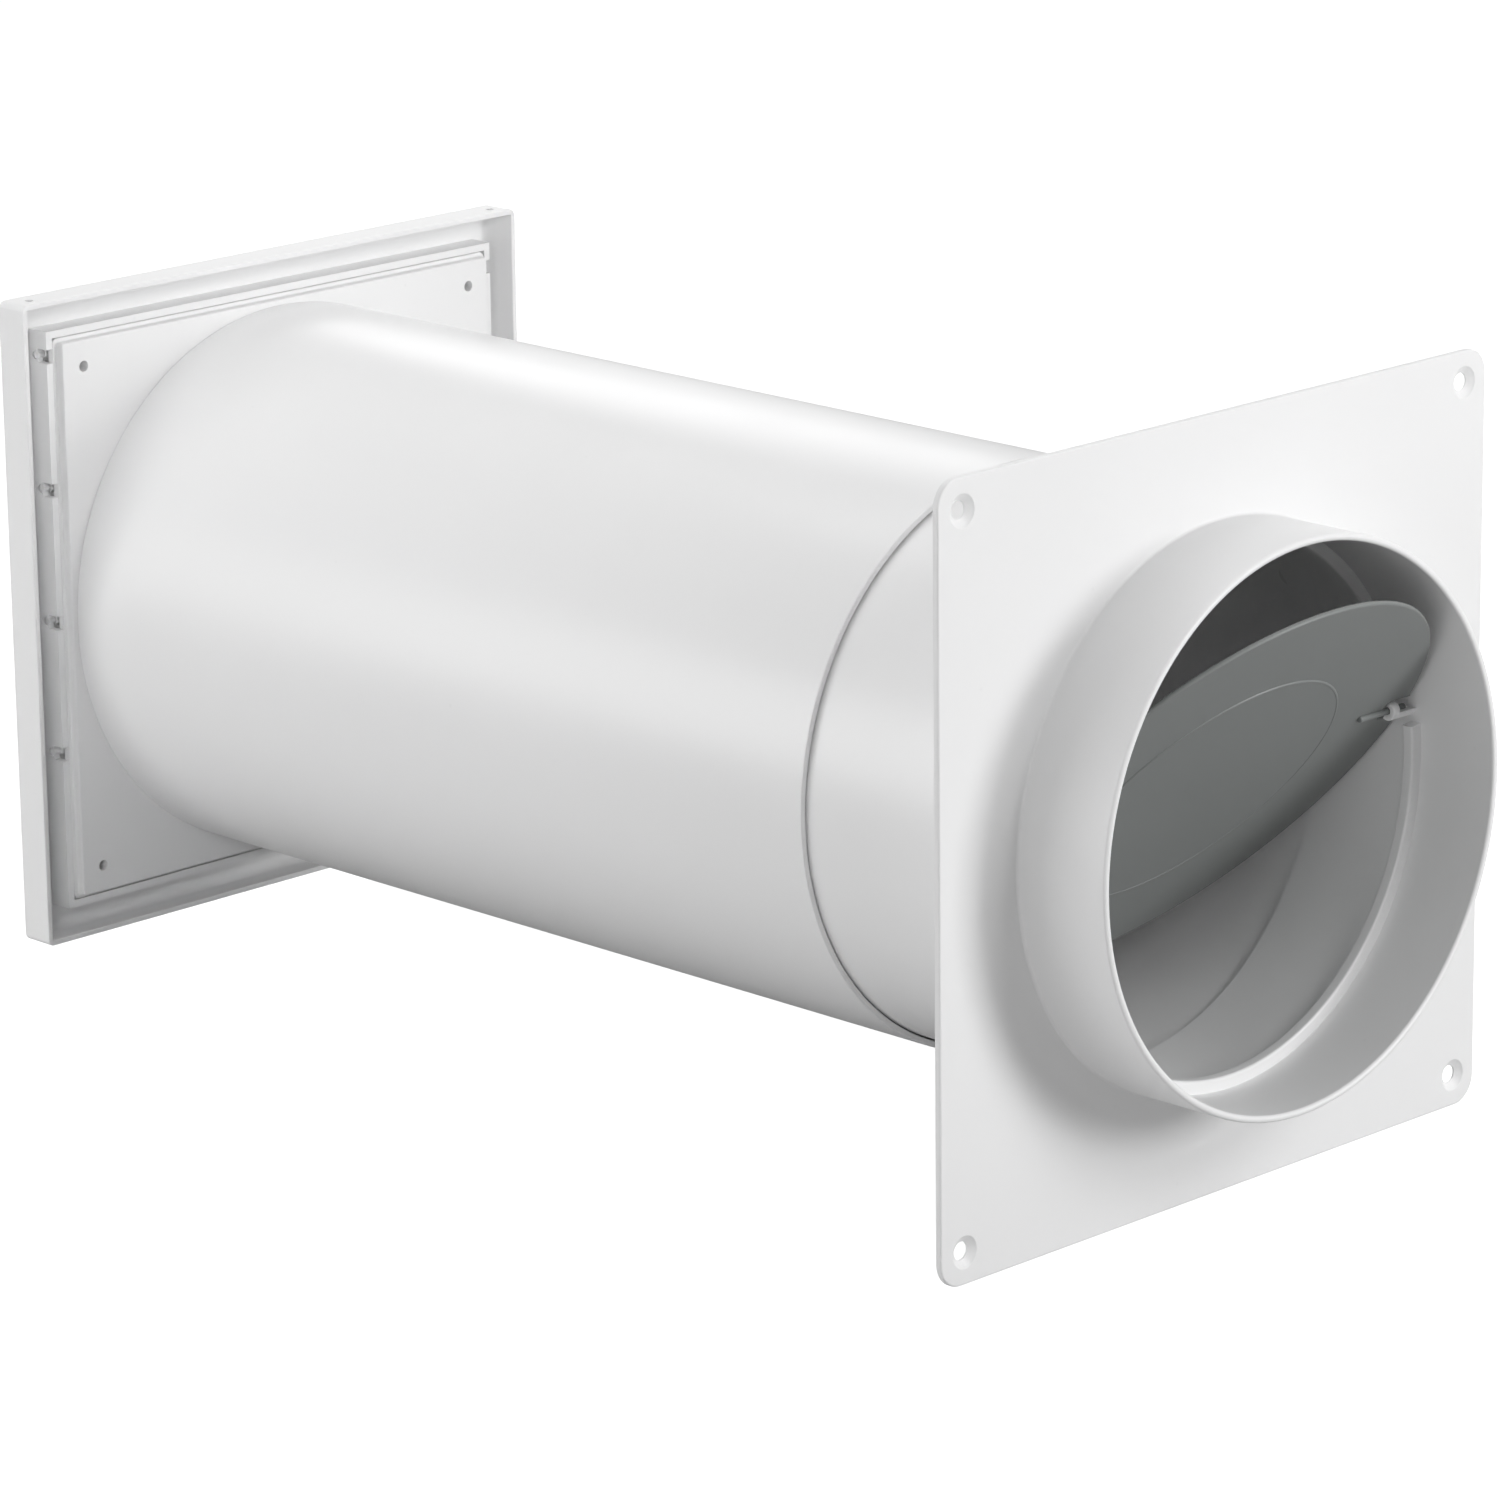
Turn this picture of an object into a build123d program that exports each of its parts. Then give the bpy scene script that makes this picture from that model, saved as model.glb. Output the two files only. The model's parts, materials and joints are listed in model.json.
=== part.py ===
from build123d import *
import os
from math import cos, radians, sin, sqrt

# Telescopic wall vent sleeve: a round duct that slides to the wall's depth, a hose collar
# with a backdraft flap on the room side, and a louvred cover on the outside.
# X is across the wall, Y runs through it from the room (-Y) to the open air (+Y), Z is up.
# The origin is where the duct's axis meets the wall's inner face.

os.makedirs("parts", exist_ok=True)

# Driving sizes, in millimetres and degrees
collar_diameter = 150.0
wall_depth = 355.0
edge_break = 0.4

# Room flange
flange_size = 205.0
flange_thickness = 2.0
flange_corner_radius = 7.0
flange_screw_inset = 8.5
flange_screw_hole = 4.8
countersink_diameter = 8.4
countersink_angle = 100.0
collar_length = 29.0
collar_wall = 2.0
collar_root_chamfer = 2.0
collar_lip_break = 0.6
sleeve_length = 28.0
sleeve_wall = 1.4

# Sliding tubes
fit_clearance = 0.05
slide_clearance = 0.4
inner_tube_wall = 1.95
inner_tube_length = 215.0
outer_tube_wall = 1.7
room_gap = 69.0

# Backdraft flap: a stub pin on each side rests in a hook on the collar's wall
flap_tilt = 40.0
flap_thickness = 1.5
flap_rim_clearance = 1.5
flap_centre_diameter = 85.0
flap_centre_rise = 0.25
pin_diameter = 1.8
pin_length = 17.8
pin_wall_gap = 3.2
pin_height = 12.7
pin_y = -3.4
hinge_offset = 1.1
hook_wall = 1.65
hook_width = 2.6
hook_wall_gap = 7.4
hook_opening_start = -60.0
hook_opening_end = 100.0
hook_arm_drop = 0.3
notch_side_clearance = 1.2
notch_end_clearance = 0.9
stop_height = 3.5
stop_width = 3.5
stop_clearance = 0.3
lower_stop_drop = 4.7
upper_stop_rise = 4.3

# Mounting plate on the outer wall face
plate_size = 160.0
plate_wall = 2.0
plate_rise = 2.6
plate_border = 1.2
plate_corner_radius = 1.5
plate_screw_inset = 7.5
plate_screw_hole = 3.0
plate_boss_wall = 1.8
spigot_length = 25.0
spigot_wall = 1.7

# Cover frame and its cassette
cover_trough = 7.4
cover_depth = 11.0
cover_setback = 1.0
cover_wall = 1.6
cover_face = 1.8
cover_corner_radius = 2.0
cover_inner_fillet = 3.0
cassette_wall = 2.1
cassette_clearance = 0.2
ledge_depth = 2.4
ledge_width = 2.0
release_hole = 2.5
release_hole_inset = 6.0
release_hole_from_rim = 4.5

# Gravity louvres
louvre_count = 4
louvre_margin = 5.0
louvre_thickness = 1.4
louvre_end_clearance = 0.5
louvre_gap = 0.35
louvre_edge_height = 0.6
louvre_straight = 0.6
louvre_barrel_diameter = 3.4
louvre_pin_diameter = 2.4
louvre_pin_end_gap = 0.4
louvre_pin_clearance = 0.05
slot_height = 4.0
slot_depth = 4.0
slot_neck = 1.0
opening_edge_gap = 0.4

# Radii of the nested duct, from the bore outwards
collar_radius = collar_diameter / 2
bore_radius = collar_radius - collar_wall
sleeve_radius = bore_radius + sleeve_wall
inner_tube_bore = sleeve_radius + fit_clearance
inner_tube_radius = inner_tube_bore + inner_tube_wall
outer_tube_bore = inner_tube_radius + slide_clearance
outer_tube_radius = outer_tube_bore + outer_tube_wall
spigot_radius = outer_tube_bore - fit_clearance
spigot_bore = spigot_radius - spigot_wall

# Places along the wall's depth
collar_mouth_y = -flange_thickness - collar_length
plate_back_y = wall_depth + plate_rise
cover_rim_y = wall_depth + cover_setback
cover_front_y = cover_rim_y + cover_depth
cover_floor_y = cover_front_y - cover_face

# Screw spacings, from the insets at the corners
flange_screw_pitch = flange_size - 2 * flange_screw_inset
plate_screw_pitch = plate_size - 2 * plate_screw_inset

# Flap sizes and its tilted plane through the hinge axis, seen from the room
flap_radius = bore_radius - flap_rim_clearance
pin_radius = pin_diameter / 2
pin_end_x = bore_radius - pin_wall_gap
pin_start_x = pin_end_x - pin_length
pin_place = (pin_y, pin_height)
hook_bore = pin_radius + fit_clearance
hook_radius = hook_bore + hook_wall
hook_end_x = bore_radius - hook_wall_gap
hook_start_x = hook_end_x - hook_width
flap_plane = Plane(
    origin=(0, pin_y, pin_height),
    x_dir=(1, 0, 0),
    z_dir=(0, -cos(radians(flap_tilt)), -sin(radians(flap_tilt))),
)
flap_middle_y = pin_y + hinge_offset
stop_inset_y = flap_thickness / 2 + stop_clearance
stop_radius = bore_radius - stop_height

# Louvre places
border_half = plate_size / 2 + plate_border
cassette_inner_half = border_half + cassette_clearance
cassette_outer_half = cassette_inner_half + cassette_wall
trough_half = cassette_outer_half + cover_trough
cover_half = trough_half + cover_wall
cover_size = 2 * cover_half
louvre_barrel_radius = louvre_barrel_diameter / 2
louvre_pin_radius = louvre_pin_diameter / 2
louvre_bearing_radius = louvre_pin_radius + louvre_pin_clearance
louvre_pivot_y = plate_back_y + slot_depth + slot_neck
louvre_half = cassette_inner_half - louvre_end_clearance
louvre_lip = louvre_barrel_radius + louvre_gap + louvre_thickness / 2
louvre_top_z = cassette_inner_half - louvre_margin
louvre_pitch = 2 * louvre_top_z / louvre_count
louvre_reach = louvre_pitch - louvre_edge_height
louvre_heights = [louvre_top_z - louvre_pitch * i for i in range(louvre_count)]


def ring_edges(part, radius, y):
    """The circular edges of one radius at one place along the duct."""
    near = part.edges().filter_by(GeomType.CIRCLE)
    near = near.filter_by_position(Axis.Y, y - 0.01, y + 0.01)
    return near.filter_by(lambda edge: abs(edge.radius - radius) < 0.01)


def across_wall(y):
    """A plane across the duct at y, looking back towards the room."""
    return Plane.XZ.offset(-y)


def save(builder, label):
    """Labels a finished piece and writes it under that name."""
    builder.part.label = label
    export_step(builder.part, f"parts/{label}.step")


# Room flange: plate, hose collar, inner sleeve, flap stops and pin hooks in one moulding
with BuildPart() as inner_flange:
    with BuildSketch(Plane.XZ):
        RectangleRounded(flange_size, flange_size, flange_corner_radius)
    extrude(amount=flange_thickness)
    front_rim = inner_flange.faces().sort_by(Axis.Y)[0].edges()
    chamfer(front_rim, edge_break)
    with BuildSketch(Plane.XZ.offset(flange_thickness)):
        Circle(collar_radius)
    extrude(amount=collar_length)
    chamfer(ring_edges(inner_flange, collar_radius, -flange_thickness), collar_root_chamfer)
    with BuildSketch(Plane.XZ):
        Circle(sleeve_radius)
    extrude(amount=-sleeve_length)
    with BuildSketch(across_wall(sleeve_length)):
        Circle(bore_radius)
    extrude(amount=sleeve_length - collar_mouth_y, mode=Mode.SUBTRACT)
    lip = ring_edges(inner_flange, collar_radius, collar_mouth_y)
    lip += ring_edges(inner_flange, bore_radius, collar_mouth_y)
    chamfer(lip, collar_lip_break)

    # Half rings that the closed flap rests on: below on the room side, above on the far side
    lower_top = pin_height - lower_stop_drop
    upper_bottom = pin_height + upper_stop_rise
    with BuildSketch(across_wall(flap_middle_y - stop_inset_y)):
        Circle(bore_radius + collar_wall / 2)
        Circle(stop_radius, mode=Mode.SUBTRACT)
        with Locations((0, lower_top - collar_radius)):
            Rectangle(collar_diameter, collar_diameter, mode=Mode.INTERSECT)
    extrude(amount=stop_width)
    with BuildSketch(across_wall(flap_middle_y + stop_inset_y)):
        Circle(bore_radius + sleeve_wall / 2)
        Circle(stop_radius, mode=Mode.SUBTRACT)
        with Locations((0, upper_bottom + collar_radius)):
            Rectangle(collar_diameter, collar_diameter, mode=Mode.INTERSECT)
    extrude(amount=-stop_width)

    # Hooks for the flap's pins, open upwards and to the far side, and their arms to the wall
    opening_reach = 2 * hook_radius
    opening_middle = (hook_opening_start + hook_opening_end) / 2
    opening_corners = [(0, 0)] + [
        (reach * cos(radians(angle)), reach * sin(radians(angle)))
        for reach, angle in (
            (opening_reach, hook_opening_start),
            (4 * opening_reach, opening_middle),
            (opening_reach, hook_opening_end),
        )
    ]
    with BuildSketch(Plane.YZ.offset(hook_start_x)):
        with Locations(pin_place):
            Circle(hook_radius)
            Circle(hook_bore, mode=Mode.SUBTRACT)
            Polygon(*opening_corners, align=None, mode=Mode.SUBTRACT)
    hook = extrude(amount=hook_width)
    mirror(hook, about=Plane.YZ)
    arm_root_x = sqrt((bore_radius + collar_wall / 2) ** 2 - pin_height**2)
    with BuildSketch(Plane.YZ.offset(hook_end_x)):
        with Locations(pin_place):
            Circle(hook_radius)
            Circle(hook_bore, mode=Mode.SUBTRACT)
        with Locations((pin_y + hook_bore, pin_height - hook_arm_drop)):
            Rectangle(
                2 * hook_radius,
                2 * hook_radius,
                align=(Align.MAX, Align.MAX),
                mode=Mode.INTERSECT,
            )
    arm = extrude(amount=arm_root_x - hook_end_x)
    mirror(arm, about=Plane.YZ)

    # Corner screw holes, countersunk from the room
    with Locations(Plane.XZ.offset(flange_thickness)):
        with GridLocations(flange_screw_pitch, flange_screw_pitch, 2, 2):
            CounterSinkHole(
                flange_screw_hole / 2,
                countersink_diameter / 2,
                depth=flange_thickness,
                counter_sink_angle=countersink_angle,
            )
save(inner_flange, "inner_flange")

# Inner tube, pushed over the flange's sleeve
with BuildPart() as inner_tube:
    with BuildSketch(Plane.XZ):
        Circle(inner_tube_radius)
        Circle(inner_tube_bore, mode=Mode.SUBTRACT)
    extrude(amount=-inner_tube_length)
    chamfer(ring_edges(inner_tube, inner_tube_radius, inner_tube_length), edge_break)
save(inner_tube, "inner_tube")

# Backdraft flap: a thin disc with a raised centre, notched rim and two stub pins
notch_start_x = hook_start_x - notch_side_clearance
notch_depth = bore_radius - notch_start_x
notch_height = 2 * (hook_radius + notch_end_clearance)
with BuildPart() as backdraft_flap:
    with BuildSketch(flap_plane.offset(-hinge_offset - flap_thickness / 2)):
        with Locations((0, -pin_height)):
            Circle(flap_radius)
        with Locations((-bore_radius, 0), (bore_radius, 0)):
            Rectangle(2 * notch_depth, notch_height, mode=Mode.SUBTRACT)
    extrude(amount=flap_thickness)
    rim = backdraft_flap.edges().filter_by(GeomType.CIRCLE)
    chamfer(rim, edge_break)
    with BuildSketch(flap_plane.offset(-hinge_offset + flap_thickness / 2)):
        with Locations((0, -pin_height)):
            Circle(flap_centre_diameter / 2)
    extrude(amount=flap_centre_rise)
    with BuildSketch(Plane.YZ.offset(pin_start_x)):
        with Locations(pin_place):
            Circle(pin_radius)
    pin = extrude(amount=pin_length)
    mirror(pin, about=Plane.YZ)
save(backdraft_flap, "backdraft_flap")

# Outer tube, butted against the mounting plate
with BuildPart() as outer_tube:
    with BuildSketch(across_wall(room_gap)):
        Circle(outer_tube_radius)
        Circle(outer_tube_bore, mode=Mode.SUBTRACT)
    extrude(amount=-(wall_depth - room_gap))
    chamfer(ring_edges(outer_tube, outer_tube_bore, room_gap), edge_break)
save(outer_tube, "outer_tube")

# Mounting plate: raised panel, border, screw bosses and the spigot inside the outer tube
plate_screw_radius = plate_screw_hole / 2
with BuildPart() as mounting_plate:
    with BuildSketch(across_wall(wall_depth)):
        RectangleRounded(plate_size, plate_size, plate_corner_radius)
    extrude(amount=-(plate_rise + plate_wall))
    panel_rim = mounting_plate.faces().sort_by(Axis.Y)[0].edges()
    chamfer(panel_rim, edge_break)
    with BuildSketch(across_wall(plate_back_y)):
        Rectangle(2 * border_half, 2 * border_half)
    extrude(amount=-plate_wall)
    with BuildSketch(across_wall(wall_depth + plate_wall)):
        Rectangle(plate_size - 2 * plate_wall, plate_size - 2 * plate_wall)
    extrude(amount=-(plate_rise + plate_wall), mode=Mode.SUBTRACT)
    with BuildSketch(across_wall(wall_depth + plate_wall)):
        with GridLocations(plate_screw_pitch, plate_screw_pitch, 2, 2):
            Circle(plate_screw_radius + plate_boss_wall)
    extrude(amount=-plate_rise)
    with BuildSketch(across_wall(wall_depth - spigot_length)):
        Circle(spigot_radius)
    extrude(amount=-(spigot_length + plate_rise + plate_wall))
    with BuildSketch(across_wall(wall_depth - spigot_length)):
        Circle(spigot_bore)
    extrude(amount=-(spigot_length + plate_rise + plate_wall), mode=Mode.SUBTRACT)
    with Locations(across_wall(wall_depth)):
        with GridLocations(plate_screw_pitch, plate_screw_pitch, 2, 2):
            Hole(plate_screw_radius)
save(mounting_plate, "mounting_plate")

# Cover frame: outer walls, front border and the cassette that the louvres hang in
opening_top = louvre_heights[0] + louvre_edge_height + opening_edge_gap
opening_bottom = louvre_heights[-1] - louvre_reach - opening_edge_gap
with BuildPart() as cover_frame:
    with BuildSketch(across_wall(cover_rim_y)):
        RectangleRounded(cover_size, cover_size, cover_corner_radius)
    extrude(amount=-cover_depth)
    front_rim = cover_frame.faces().sort_by(Axis.Y)[-1].edges()
    chamfer(front_rim, 2 * edge_break)
    with BuildSketch(across_wall(cover_rim_y)):
        Rectangle(2 * trough_half, 2 * trough_half)
    extrude(amount=-(cover_depth - cover_face), mode=Mode.SUBTRACT)
    with BuildSketch(across_wall(plate_back_y)):
        Rectangle(2 * cassette_outer_half, 2 * cassette_outer_half)
        Rectangle(2 * cassette_inner_half, 2 * cassette_inner_half, mode=Mode.SUBTRACT)
    extrude(amount=-(cover_floor_y - plate_back_y))
    floor_edges = cover_frame.edges().filter_by_position(
        Axis.Y, cover_floor_y - 0.01, cover_floor_y + 0.01
    )
    trough_corners = floor_edges.filter_by(
        lambda edge: max(abs(edge.center().X), abs(edge.center().Z)) > trough_half - 0.1
    )
    fillet(trough_corners, cover_inner_fillet)

    # Window for the louvres, with a border that laps over the first barrel and the sill
    with BuildSketch(across_wall(cover_floor_y)):
        with Locations((0, (opening_top + opening_bottom) / 2)):
            Rectangle(2 * cassette_inner_half, opening_top - opening_bottom)
    extrude(amount=-cover_face, mode=Mode.SUBTRACT)

    # Ledges that the mounting plate's border rests on
    ledge_y = plate_back_y + plate_wall
    ledge_z = cassette_inner_half - ledge_depth / 2
    with BuildSketch(across_wall(ledge_y)):
        with Locations((0, ledge_z), (0, -ledge_z)):
            Rectangle(2 * cassette_inner_half, ledge_depth)
    extrude(amount=-ledge_width)

    # Snap-in slots and round bearings for the louvre pins
    for height in louvre_heights:
        for side in (-1, 1):
            slot_plane = Plane.YZ.offset(side * (cassette_inner_half + cassette_wall / 2))
            with BuildSketch(slot_plane):
                with Locations((plate_back_y + slot_depth / 2, height)):
                    Rectangle(slot_depth, slot_height)
                with Locations((louvre_pivot_y, height)):
                    Circle(louvre_bearing_radius)
            extrude(amount=cassette_wall, both=True, mode=Mode.SUBTRACT)

    # Release holes near both ends of the top wall
    release_x = cover_half - release_hole_inset
    with BuildSketch(Plane.XY.offset(cover_half)):
        with Locations(
            (-release_x, cover_rim_y + release_hole_from_rim),
            (release_x, cover_rim_y + release_hole_from_rim),
        ):
            Circle(release_hole / 2)
    extrude(amount=-cover_wall, mode=Mode.SUBTRACT)
save(cover_frame, "cover_frame")

# Gravity louvres: each hangs on its barrel and laps over the barrel of the next one down
pin_tip_x = cassette_outer_half - louvre_pin_end_gap
for number, height in enumerate(louvre_heights, start=1):
    with BuildPart() as louvre:
        with BuildSketch(Plane.YZ.offset(-louvre_half)):
            with BuildLine():
                straight_end = height - louvre_straight * louvre_reach
                drop = Line((louvre_pivot_y, height), (louvre_pivot_y, straight_end))
                lip_end = (louvre_pivot_y + louvre_lip, height - louvre_reach)
                TangentArc(drop @ 1, lip_end, tangent=drop % 1)
            trace(line_width=louvre_thickness)
            with Locations((louvre_pivot_y, height)):
                Circle(louvre_barrel_radius)
        extrude(amount=2 * louvre_half)
        with BuildSketch(Plane.YZ.offset(-pin_tip_x)):
            with Locations((louvre_pivot_y, height)):
                Circle(louvre_pin_radius)
        extrude(amount=2 * pin_tip_x)
    save(louvre, f"louvre_{number}")
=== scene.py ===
"""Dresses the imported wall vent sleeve: smooth moulded shells, satin plastics, studio and camera."""

import json
from math import cos, pi, radians, sin, tan

import bmesh
import bpy
import numpy as np
from mathutils import Matrix, Vector
from mathutils.geometry import delaunay_2d_cdt


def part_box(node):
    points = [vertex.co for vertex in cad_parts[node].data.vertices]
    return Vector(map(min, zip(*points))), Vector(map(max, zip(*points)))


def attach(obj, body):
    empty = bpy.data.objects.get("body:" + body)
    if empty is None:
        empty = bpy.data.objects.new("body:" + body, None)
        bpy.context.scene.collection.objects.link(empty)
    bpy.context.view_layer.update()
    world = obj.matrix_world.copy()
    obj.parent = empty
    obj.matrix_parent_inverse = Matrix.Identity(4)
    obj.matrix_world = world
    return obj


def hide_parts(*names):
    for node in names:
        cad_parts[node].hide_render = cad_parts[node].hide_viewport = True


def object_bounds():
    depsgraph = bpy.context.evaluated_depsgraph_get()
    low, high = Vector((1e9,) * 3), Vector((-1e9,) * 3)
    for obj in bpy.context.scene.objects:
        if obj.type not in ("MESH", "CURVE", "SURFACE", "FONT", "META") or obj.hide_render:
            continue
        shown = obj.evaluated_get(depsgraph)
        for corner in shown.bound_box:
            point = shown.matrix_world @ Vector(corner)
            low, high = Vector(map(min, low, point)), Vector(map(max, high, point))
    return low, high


bl_info = {
    "name": "Wall Vent Sleeve",
    "version": (1, 0, 0),
    "blender": (4, 5, 0),
    "location": "View3D > Sidebar > Vent Sleeve",
    "description": "Moulded shells, finishes and studio for a telescopic wall vent sleeve",
    "category": "Object",
}

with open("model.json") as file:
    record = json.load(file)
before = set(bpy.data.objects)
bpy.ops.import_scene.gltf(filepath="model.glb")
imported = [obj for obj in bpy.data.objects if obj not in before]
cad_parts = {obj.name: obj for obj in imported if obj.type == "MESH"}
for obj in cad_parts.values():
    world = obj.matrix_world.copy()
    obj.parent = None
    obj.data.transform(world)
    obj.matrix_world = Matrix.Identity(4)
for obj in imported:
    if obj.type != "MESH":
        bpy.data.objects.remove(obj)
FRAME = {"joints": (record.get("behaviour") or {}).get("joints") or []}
CAD_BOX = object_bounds()
MM = 0.001

# Points in a large circle, in a soft edge, in a small soft edge and in a plate's rounded corner
ROUND_STEPS = 160
EDGE_STEPS = 5
SMALL_STEPS = 4
CORNER_STEPS = 8

# The radius a turned shape ends with on its own axis, small enough for its points to be joined
ON_AXIS = 0.001 * MM


def joint_place(name):
    """The point on a joint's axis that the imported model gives, in metres."""
    return np.array([joint["pos_m"] for joint in FRAME["joints"] if joint["name"] == name][0], float)


# The hose collar of the room flange, and the flap in it, whose faces are heights above its hinge
# axis towards the room
COLLAR_RADIUS = 75.0 * MM
COLLAR_BORE = 73.0 * MM
FLAP_RADIUS = 71.5 * MM
FLAP_FACE = -0.35 * MM
FLAP_BACK = -1.85 * MM

# The flap's hinge axis, and where its pins, hooks and rim notches lie across the wall
HINGE = joint_place("flap_hinge")
PIN_RADIUS = 0.9 * MM
PIN_SPAN = (52.0 * MM, 69.8 * MM)
HOOK_SPAN = (63.0 * MM, 65.6 * MM)
HOOK_BORE = 0.95 * MM
HOOK_RADIUS = 2.6 * MM
NOTCH_START = 61.8 * MM
NOTCH_HALF = 3.5 * MM

# Depths of the wall's outer face and of the plate's border, where the cover's cassette begins
WALL_DEPTH = 355.0 * MM
PLATE_RISE = 2.6 * MM
BORDER_DEPTH = WALL_DEPTH + PLATE_RISE
CASSETTE_OUTER = 83.5 * MM
CASSETTE_INNER = 81.4 * MM
SLOT_DEPTH = 4.0 * MM
LOUVRE_HINGES = [joint_place(f"louvre_{number}_hinge") for number in range(1, 5)]


# Sizes, finishes and light levels


def number(name, description, default, least=0.0, **more):
    """A single setting that doesn't go below its least value."""
    return bpy.props.FloatProperty(
        name=name, description=description, default=default, min=least, **more
    )


def length(name, description, default, least=0.05 * MM):
    """A length setting, in metres."""
    return number(name, description, default, least, unit="LENGTH")


def roughness(name, description, default):
    """A roughness setting, between gloss at nought and matt at one."""
    return number(name, description, default, max=1.0)


def lamp_power(name, description, default):
    """A lamp's power setting, in watts."""
    return number(name, description, default, unit="POWER")


def colour(name, description, default):
    """A colour setting."""
    return bpy.props.FloatVectorProperty(
        name=name, description=description, default=default, size=3, min=0.0, max=1.0, subtype="COLOR"
    )


class SleeveSizes(bpy.types.PropertyGroup):
    """Sizes of the moulded details, in metres."""

    edge_round: length("Edge round", "Radius of the soft edge on the moulded plates", 0.5 * MM)
    collar_fillet: length(
        "Collar fillet", "Radius where the hose collar meets the room flange", 0.8 * MM
    )
    flap_circle: length("Flap circle", "Radius of the raised middle of the flap", 42.5 * MM, 5 * MM)
    flap_tilt: number(
        "Flap tilt", "How far the flap hangs open as stored", radians(40.0), subtype="ANGLE"
    )


class SleeveFinish(bpy.types.PropertyGroup):
    """Colours and gloss of the plastics."""

    white: colour("White plastic", "Colour of all the white parts", (0.86, 0.86, 0.862))
    flap: colour("Flap plastic", "Colour of the backdraft flap", (0.2, 0.21, 0.207))
    moulded_gloss: roughness("Moulded roughness", "Roughness of the white moulded parts", 0.42)
    tube_gloss: roughness("Tube roughness", "Roughness of the extruded tubes", 0.3)
    flap_gloss: roughness("Flap roughness", "Roughness of the backdraft flap", 0.45)


class StudioSettings(bpy.types.PropertyGroup):
    """Light levels and the camera."""

    lens: number("Lens", "Focal length in millimetres on a 36 mm frame", 161.98, 10.0)
    overhead_power: lamp_power("Overhead light", "Large lamp above the tubes", 10.0)
    front_power: lamp_power("Front light", "Lamp in front of the room flange", 12.3)
    mouth_power: lamp_power(
        "Mouth light", "Lamp above the front light, which reaches into the collar", 7.6
    )
    side_power: lamp_power("Side light", "Lamp behind the flange on the camera's left", 15.5)
    fill_power: lamp_power("Low fill", "Small lamp low on the camera's left", 5.2)
    back_power: lamp_power(
        "Back light", "Lamp behind the tubes, which draws the bright line along their top", 1.4
    )
    cover_power: lamp_power("Cover light", "Narrow lamp on the outside cover and its plate", 0.05)
    ambient: number("Ambient", "Strength of the even light from all round", 0.145)


# Loops, rows and shells: every surface is worked out as whole arrays


def circle(radius, steps=ROUND_STEPS):
    """A circle: cosine and sine of an even turn, times the radius."""
    turn = np.linspace(0.0, 2 * pi, steps, endpoint=False)
    return radius * np.stack([np.cos(turn), np.sin(turn)], axis=1)


def arc(radius, first, last, steps):
    """Part of a circle: cosine and sine from the first angle to the last, times the radius."""
    turn = np.linspace(first, last, steps)
    return radius * np.stack([np.cos(turn), np.sin(turn)], axis=1)


def four_turns(corner):
    """One corner's points repeated at four quarter turns about the origin, as one loop."""
    quarter = np.arange(4) * pi / 2
    x = np.outer(np.cos(quarter), corner[:, 0]) - np.outer(np.sin(quarter), corner[:, 1])
    z = np.outer(np.sin(quarter), corner[:, 0]) + np.outer(np.cos(quarter), corner[:, 1])
    return np.stack([x, z], axis=2).reshape(-1, 2)


def rounded_square(half, radius, steps=CORNER_STEPS):
    """A square with quarter-circle corners: a quarter circle about a centre moved in from the
    corner, repeated at four quarter turns, so straight sides join them."""
    return four_turns(arc(radius, 0.0, pi / 2, steps) + (half - radius))


def rounded_box(low_x, high_x, low_z, high_z, radius, steps=CORNER_STEPS):
    """A rectangle with quarter-circle corners: the four quarters of a circle, each moved out to
    its own corner of the rectangle."""
    half = np.array([high_x - low_x, high_z - low_z]) / 2
    middle = np.array([high_x + low_x, high_z + low_z]) / 2
    corners = np.repeat([[1, 1], [-1, 1], [-1, -1], [1, -1]], steps, axis=0)
    return middle + corners * (half - radius) + four_turns(arc(radius, 0.0, pi / 2, steps))


def soft_corner(corner, back, ahead, steps=EDGE_STEPS):
    """A quarter ellipse round a profile's corner: it leaves the side that runs back from the
    corner and meets the side ahead, weighted by one minus sine and one minus cosine."""
    turn = np.linspace(0.0, pi / 2, steps)[:, None]
    corner, back, ahead = map(np.asarray, (corner, back, ahead))
    return corner + back * (1 - np.sin(turn)) + ahead * (1 - np.cos(turn))


def chain(*parts):
    """Profile points and arcs one after another as one array."""
    return np.concatenate([np.atleast_2d(part) for part in parts])


def inside(loop, points):
    """Which points lie inside a loop: an odd number of its edges crosses the line to the right
    of the point."""
    ahead = np.roll(loop, -1, axis=0)
    x, z = points[:, :1], points[:, 1:]
    spans = (loop[None, :, 1] > z) != (ahead[None, :, 1] > z)
    least = 1e-12
    rise = ahead[:, 1] - loop[:, 1]
    rise = np.where(np.abs(rise) < least, least, rise)
    crossing = loop[None, :, 0] + (z - loop[None, :, 1]) / rise * (ahead[:, 0] - loop[:, 0])
    return (spans & (x < crossing)).sum(axis=1) % 2 == 1


def across(y):
    """Places flat (x, z) points at one depth y along the duct."""
    return lambda plan: np.stack([plan[:, 0], np.full(len(plan), y), plan[:, 1]], axis=1)


def sideways(x):
    """Places flat (y, z) points at one x across the wall."""
    return lambda plan: np.stack([np.full(len(plan), x), plan[:, 0], plan[:, 1]], axis=1)


def stacked(plans, depths):
    """Flat (x, z) rows, each placed at its own depth along the duct."""
    return np.stack([across(depth)(plan) for plan, depth in zip(plans, depths)])


def plan_of(row):
    """The flat (x, z) outline of a placed row."""
    return row[:, [0, 2]]


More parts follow.
